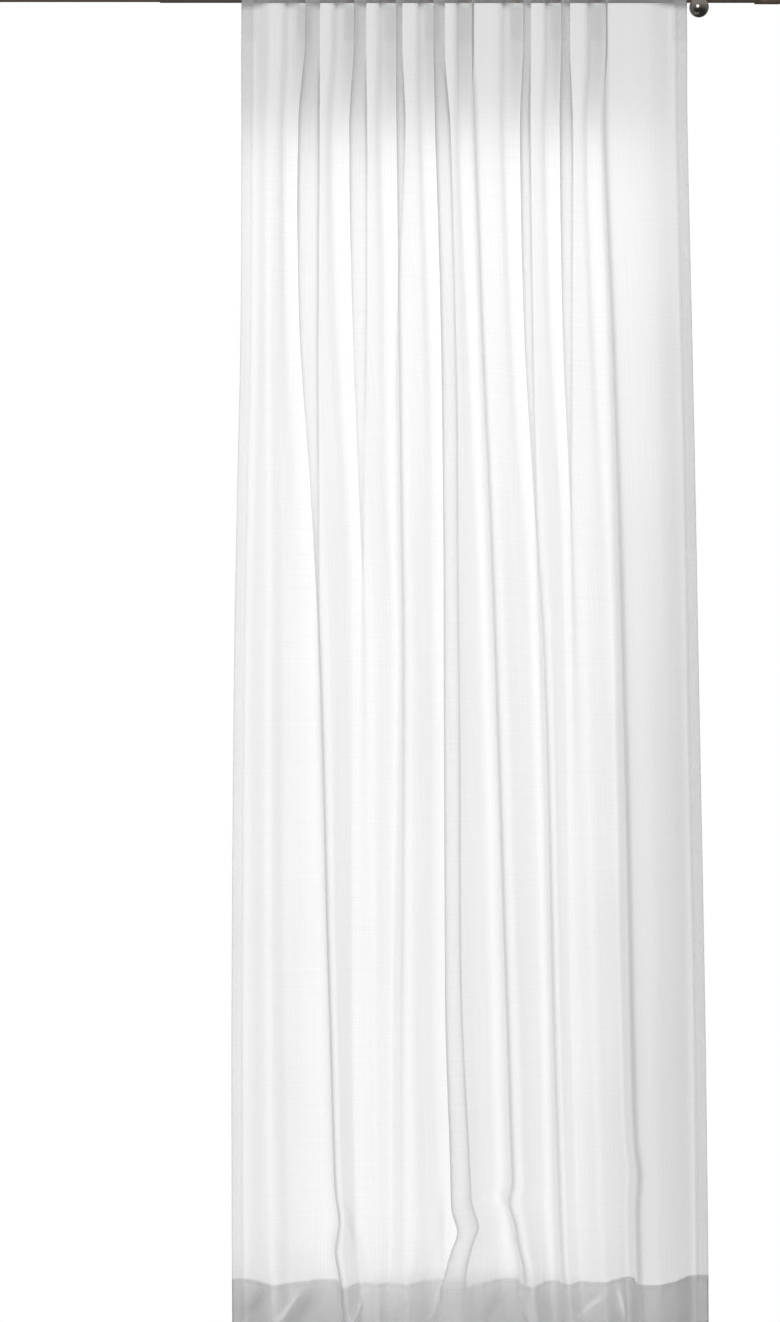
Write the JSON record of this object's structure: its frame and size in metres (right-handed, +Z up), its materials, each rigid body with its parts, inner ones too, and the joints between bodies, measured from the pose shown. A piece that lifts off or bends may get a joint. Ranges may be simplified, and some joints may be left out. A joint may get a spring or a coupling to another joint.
{
  "type": "sheer curtain panel on a curtain rod",
  "caption": "Sheer white curtain panel with sewn hems, gathered by hidden tabs on a slim brown rod that ball-ended wall brackets hold up.",
  "frame": {"origin": "on the wall, straight behind the rod's axis at the middle of the gathered heading", "axes": "+X along the rod to the right as seen from the room, +Y into the wall, +Z up"},
  "size_m": [1.5496, 0.173, 2.5122],
  "materials": {
    "voile": "sheer plain weave, matt",
    "rod_brown": "satin brown",
    "rod_taupe": "satin brown, a little paler",
    "bracket_bronze": "polished dark bronze"
  },
  "bodies": {
    "root": {"bracket_left_arm": "bracket_bronze", "bracket_left_cradle": "bracket_bronze", "bracket_left_knob": "bracket_bronze", "bracket_left_plate": "bracket_bronze", "bracket_right_arm": "bracket_bronze", "bracket_right_cradle": "bracket_bronze", "bracket_right_knob": "bracket_bronze", "bracket_right_plate": "bracket_bronze", "curtain_panel": "voile", "rod_cap_left": "rod_taupe", "rod_cap_right": "rod_brown", "rod_inner_tube": "rod_taupe", "rod_outer_tube": "rod_brown", "tab_01": "voile", "tab_02": "voile", "tab_03": "voile", "tab_04": "voile", "tab_05": "voile", "tab_06": "voile", "tab_07": "voile", "tab_08": "voile", "tab_09": "voile", "tab_10": "voile"}
  },
  "joints": []
}
